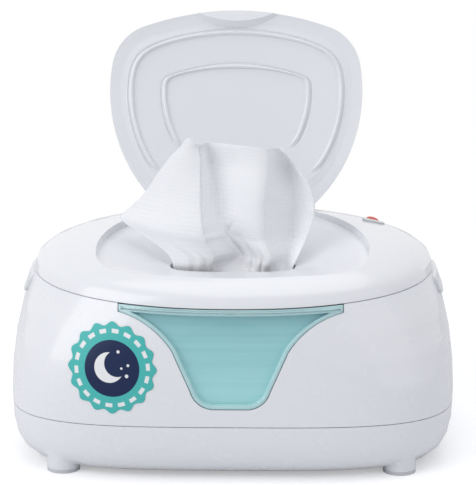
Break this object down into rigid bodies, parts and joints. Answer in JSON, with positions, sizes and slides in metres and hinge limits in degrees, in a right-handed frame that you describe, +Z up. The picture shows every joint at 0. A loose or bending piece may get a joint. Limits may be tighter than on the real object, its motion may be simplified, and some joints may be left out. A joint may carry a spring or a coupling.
{
  "type": "baby wipe warmer",
  "caption": "Rounded tabletop warmer for baby wipes, with a hinged top cover, a flip lid over the pull slot, a translucent front window and a wipe pulled up ready to take.",
  "frame": {"origin": "on the ground, under the middle of the casing", "axes": "+X to the right of a person facing the front window, +Y to the rear where the lids are hinged, +Z up"},
  "size_m": [0.234, 0.168, 0.2215],
  "materials": {
    "casing": "gloss",
    "cover": "gloss",
    "window": "gloss",
    "sticker": "satin",
    "latch": "gloss",
    "spring_steel": "satin",
    "steel": "satin",
    "tub": "satin",
    "nonwoven": "matte",
    "aluminium": "satin",
    "copper_foil": "satin",
    "foam": "matte",
    "control_plastic": "matte",
    "circuit_board": "satin",
    "clear_plastic": "gloss",
    "silicone": "matte",
    "foot_rubber": "matte",
    "button_grey": "satin",
    "indicator_red": "gloss"
  },
  "bodies": {
    "base": {"base_tray": "casing", "rubber_feet": "foot_rubber", "base_screws": "steel", "body_shell": "casing", "front_window": "window", "badge_sticker": "sticker", "wipe_tub": "tub", "wipe_stack": "nonwoven", "heater_plate": "aluminium", "heating_element": "copper_foil", "insulation_pad": "foam", "thermostat": "control_plastic", "thermal_fuse": "control_plastic", "control_board": "circuit_board", "board_components": "control_plastic", "dc_jack": "control_plastic", "led_board": "circuit_board", "light_guide": "clear_plastic", "cover_hinge_pins": "steel"},
    "top_cover": {"top_cover": "cover", "cover_lining": "cover", "cover_gasket": "silicone", "indicator_lens": "indicator_red", "switch_board": "circuit_board", "flip_lid_pin": "steel", "wipe": "nonwoven"},
    "flip_lid": {"flip_lid": "cover", "flip_lid_liner": "cover"},
    "side_latch_left": {"side_latch_left": "latch", "latch_spring_left": "spring_steel"},
    "side_latch_right": {"side_latch_right": "latch", "latch_spring_right": "spring_steel"},
    "light_button": {"light_button": "button_grey"}
  },
  "joints": [
    {"name": "top_cover_hinge", "type": "hinge", "parent": "base", "child": "top_cover", "pos_m": [0, 0.0806, 0.103], "axis": [-1, 0, 0], "range_deg": [0, 95]},
    {"name": "flip_lid_hinge", "type": "hinge", "parent": "top_cover", "child": "flip_lid", "pos_m": [0, 0.047, 0.11296], "axis": [1, 0, 0], "range_deg": [0, 111.8], "deforming": ["wipe"]},
    {"name": "side_latch_left_slide", "type": "slide", "parent": "base", "child": "side_latch_left", "axis": [1, 0, 0], "range_m": [0, 0.002], "stiffness_N_per_m": 400, "springref_m": -0.002},
    {"name": "side_latch_right_slide", "type": "slide", "parent": "base", "child": "side_latch_right", "axis": [-1, 0, 0], "range_m": [0, 0.002], "stiffness_N_per_m": 400, "springref_m": -0.002},
    {"name": "light_button_slide", "type": "slide", "parent": "top_cover", "child": "light_button", "axis": [0, 0, -1], "range_m": [0, 0.0008], "stiffness_N_per_m": 400, "springref_m": -0.002}
  ]
}
